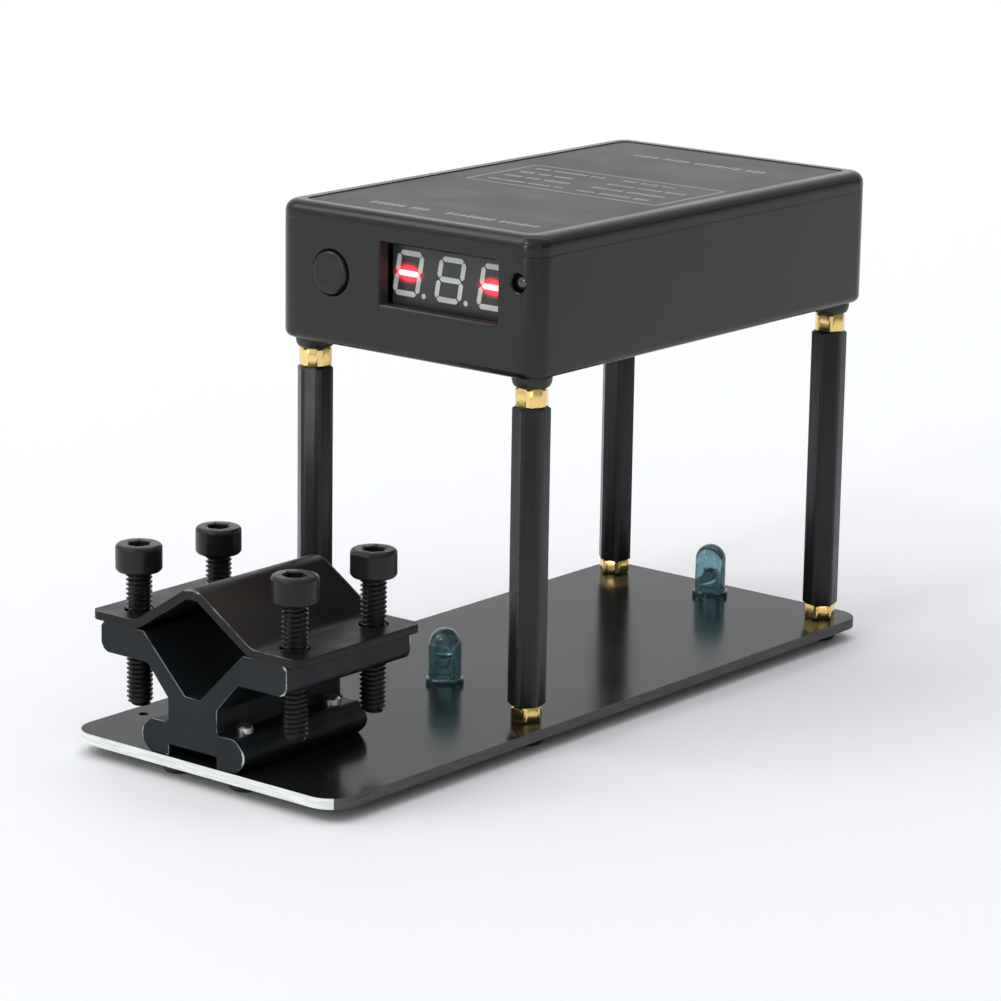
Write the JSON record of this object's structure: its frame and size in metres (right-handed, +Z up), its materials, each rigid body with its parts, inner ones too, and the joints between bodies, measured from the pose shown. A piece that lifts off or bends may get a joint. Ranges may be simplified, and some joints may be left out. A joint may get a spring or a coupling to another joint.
{
  "type": "optical gate chronograph",
  "caption": "Speed timer: a base plate with a screw-down barrel clamp, tall pillars, light gates and a display box above the flight path.",
  "frame": {"origin": "on the surface the object stands on, below the centre of its base plate", "axes": "+Z up, +Y along the base plate from the clamp and display end towards the rear, +X across the plate to the right of someone facing the display"},
  "size_m": [0.052, 0.13, 0.0767],
  "materials": {
    "board_black": "gloss solder mask over glass-fibre board, pale cut edge",
    "screw_black": "black oxide steel, satin",
    "brass": "bright turned brass",
    "collar_black": "satin moulded nylon",
    "stud_steel": "zinc plated",
    "column_black": "black plated, satin gloss",
    "led_blue": "clear tinted epoxy, polished",
    "sensor_clear": "clear epoxy",
    "tin": "bright solder",
    "chip_black": "matt moulded epoxy",
    "case_black": "moulded ABS, satin gloss",
    "label_film": "satin printed film",
    "display_face": "matt black",
    "segment_lit": "lit red diffuser",
    "segment_unlit": "milky diffuser, unlit",
    "lens_dark": "polished, nearly black",
    "button_black": "moulded, satin gloss",
    "board_green": "green solder mask",
    "can_silver": "plated can",
    "can_sleeve": "shrink sleeve",
    "passive_brown": "fired ceramic",
    "foam": "closed-cell foam",
    "pouch_silver": "laminated foil pouch",
    "wire_red": "soft wire insulation",
    "anodised_black": "black anodised, worn edges",
    "plate_black": "black coated sheet, satin"
  },
  "bodies": {
    "stand": {"base_plate": "board_black", "leg_screws": "screw_black", "leg_nuts": "brass", "leg_spacers": "brass", "leg_collars": "collar_black", "leg_studs": "stud_steel", "emitter_front": "led_blue", "emitter_rear": "led_blue", "light_sensor_front": "sensor_clear", "light_sensor_rear": "sensor_clear", "emitter_leads": "tin", "ballast_resistors": "chip_black", "enclosure_base": "case_black", "enclosure_lid": "case_black", "top_label": "label_film", "display_module": "display_face", "display_segments_lit": "segment_lit", "display_segments_unlit": "segment_unlit", "indicator_lens": "lens_dark", "switch_body": "chip_black", "main_board": "board_green", "front_board": "board_green", "board_header": "chip_black", "board_screws": "stud_steel", "controller_chip": "chip_black", "timing_crystal": "can_silver", "reservoir_capacitor": "can_sleeve", "board_passives": "passive_brown", "battery_pad": "foam", "battery_cell": "pouch_silver", "battery_leads": "wire_red", "charge_socket": "can_silver", "clamp_body": "anodised_black", "clamp_fixing_screws": "stud_steel", "leg_column_front_left": "column_black", "leg_column_front_right": "column_black", "leg_column_rear_left": "column_black", "leg_column_rear_right": "column_black"},
    "power_button": {"button_cap": "button_black"},
    "upper_jaw": {"clamp_plate": "plate_black"},
    "clamp_screw_front_left": {"clamp_screw_front_left": "screw_black"},
    "clamp_screw_front_right": {"clamp_screw_front_right": "screw_black"},
    "clamp_screw_rear_left": {"clamp_screw_rear_left": "screw_black"},
    "clamp_screw_rear_right": {"clamp_screw_rear_right": "screw_black"}
  },
  "joints": [
    {"name": "power_button_push", "type": "slide", "parent": "stand", "child": "power_button", "axis": [0, 1, 0], "range_m": [0, 0.0005], "stiffness_N_per_m": 1500},
    {"name": "upper_jaw_lift", "type": "slide", "parent": "stand", "child": "upper_jaw", "axis": [0, 0, 1], "range_m": [0, 0.005]},
    {"name": "clamp_screw_front_left_run", "type": "slide", "parent": "upper_jaw", "child": "clamp_screw_front_left", "axis": [0, 0, 1], "range_m": [-0.0044, 0.004]},
    {"name": "clamp_screw_front_right_run", "type": "slide", "parent": "upper_jaw", "child": "clamp_screw_front_right", "axis": [0, 0, 1], "range_m": [-0.005, 0.004]},
    {"name": "clamp_screw_rear_left_run", "type": "slide", "parent": "upper_jaw", "child": "clamp_screw_rear_left", "axis": [0, 0, 1], "range_m": [-0.0038, 0.004]},
    {"name": "clamp_screw_rear_right_run", "type": "slide", "parent": "upper_jaw", "child": "clamp_screw_rear_right", "axis": [0, 0, 1], "range_m": [-0.005, 0.004]}
  ]
}
